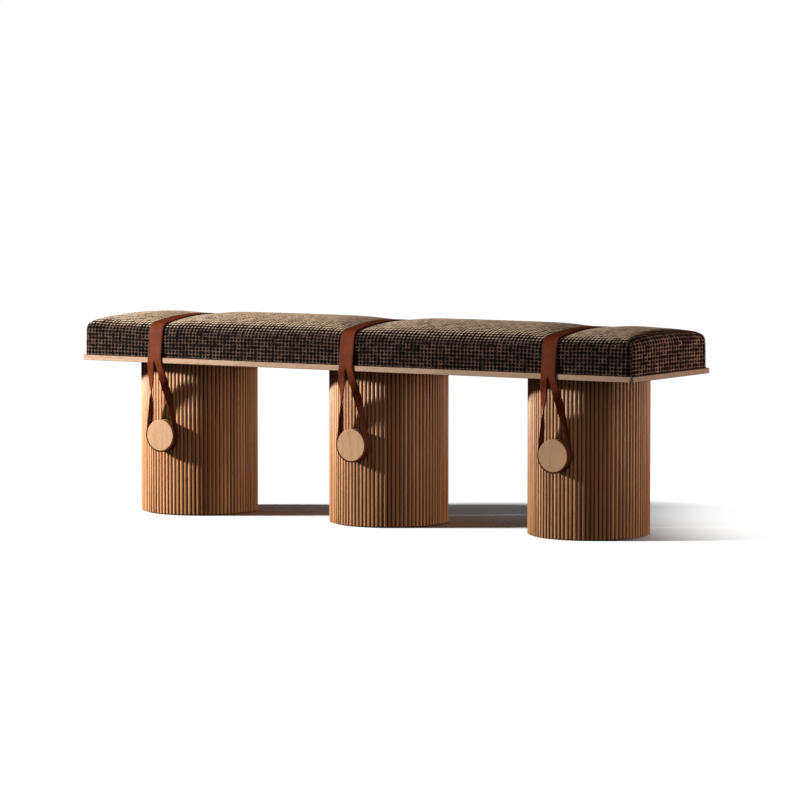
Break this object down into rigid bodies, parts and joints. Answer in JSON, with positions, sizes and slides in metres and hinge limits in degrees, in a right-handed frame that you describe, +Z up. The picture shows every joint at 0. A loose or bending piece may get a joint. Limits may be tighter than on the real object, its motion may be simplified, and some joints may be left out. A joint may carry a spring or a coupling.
{
  "type": "bed bench",
  "caption": "Long upholstered bench: a crowned woven cushion held on an oak board by leather straps whose loops hook over round pegs on reeded drum legs.",
  "frame": {"origin": "middle of the footprint on the floor", "axes": "+X along the seat, +Y from front to back, +Z up"},
  "size_m": [1.46, 0.3716, 0.4695],
  "materials": {
    "board_oak": "matt oiled oak",
    "reed_oak": "satin oiled oak",
    "peg_oak": "matt turned oak",
    "plywood": "raw birch plywood",
    "woven_cover": "coarse dark weave with a tan net of raised yarns",
    "foam": "open-cell foam",
    "felt": "pressed felt",
    "strap_leather": "smooth cognac leather",
    "screw_steel": "zinc-plated"
  },
  "bodies": {
    "bench": {"cushion_cover": "woven_cover", "cushion_foam": "foam", "cushion_panel": "plywood", "left_board_screws": "screw_steel", "left_leg_base_plate": "plywood", "left_leg_core": "plywood", "left_leg_glides": "felt", "left_leg_sleeve": "reed_oak", "left_leg_top_plate": "plywood", "left_peg_back": "peg_oak", "left_peg_front": "peg_oak", "left_peg_screws": "screw_steel", "left_strap_band": "strap_leather", "middle_board_screws": "screw_steel", "middle_leg_base_plate": "plywood", "middle_leg_core": "plywood", "middle_leg_glides": "felt", "middle_leg_sleeve": "reed_oak", "middle_leg_top_plate": "plywood", "middle_peg_back": "peg_oak", "middle_peg_front": "peg_oak", "middle_peg_screws": "screw_steel", "middle_strap_band": "strap_leather", "right_board_screws": "screw_steel", "right_leg_base_plate": "plywood", "right_leg_core": "plywood", "right_leg_glides": "felt", "right_leg_sleeve": "reed_oak", "right_leg_top_plate": "plywood", "right_peg_back": "peg_oak", "right_peg_front": "peg_oak", "right_peg_screws": "screw_steel", "right_strap_band": "strap_leather", "seat_board": "board_oak"},
    "left_front_loop": {"left_strap_loop_front": "strap_leather"},
    "left_back_loop": {"left_strap_loop_back": "strap_leather"},
    "middle_front_loop": {"middle_strap_loop_front": "strap_leather"},
    "middle_back_loop": {"middle_strap_loop_back": "strap_leather"},
    "right_front_loop": {"right_strap_loop_front": "strap_leather"},
    "right_back_loop": {"right_strap_loop_back": "strap_leather"}
  },
  "joints": [
    {"name": "left_front_loop_fold", "type": "hinge", "parent": "bench", "child": "left_front_loop", "pos_m": [-0.522, -0.1858, 0.357], "axis": [-1, 0, 0], "range_deg": [0, 120]},
    {"name": "left_back_loop_fold", "type": "hinge", "parent": "bench", "child": "left_back_loop", "pos_m": [-0.522, 0.1858, 0.357], "axis": [1, 0, 0], "range_deg": [0, 120]},
    {"name": "middle_front_loop_fold", "type": "hinge", "parent": "bench", "child": "middle_front_loop", "pos_m": [0, -0.1858, 0.357], "axis": [-1, 0, 0], "range_deg": [0, 120]},
    {"name": "middle_back_loop_fold", "type": "hinge", "parent": "bench", "child": "middle_back_loop", "pos_m": [0, 0.1858, 0.357], "axis": [1, 0, 0], "range_deg": [0, 120]},
    {"name": "right_front_loop_fold", "type": "hinge", "parent": "bench", "child": "right_front_loop", "pos_m": [0.522, -0.1858, 0.357], "axis": [-1, 0, 0], "range_deg": [0, 120]},
    {"name": "right_back_loop_fold", "type": "hinge", "parent": "bench", "child": "right_back_loop", "pos_m": [0.522, 0.1858, 0.357], "axis": [1, 0, 0], "range_deg": [0, 120]}
  ]
}
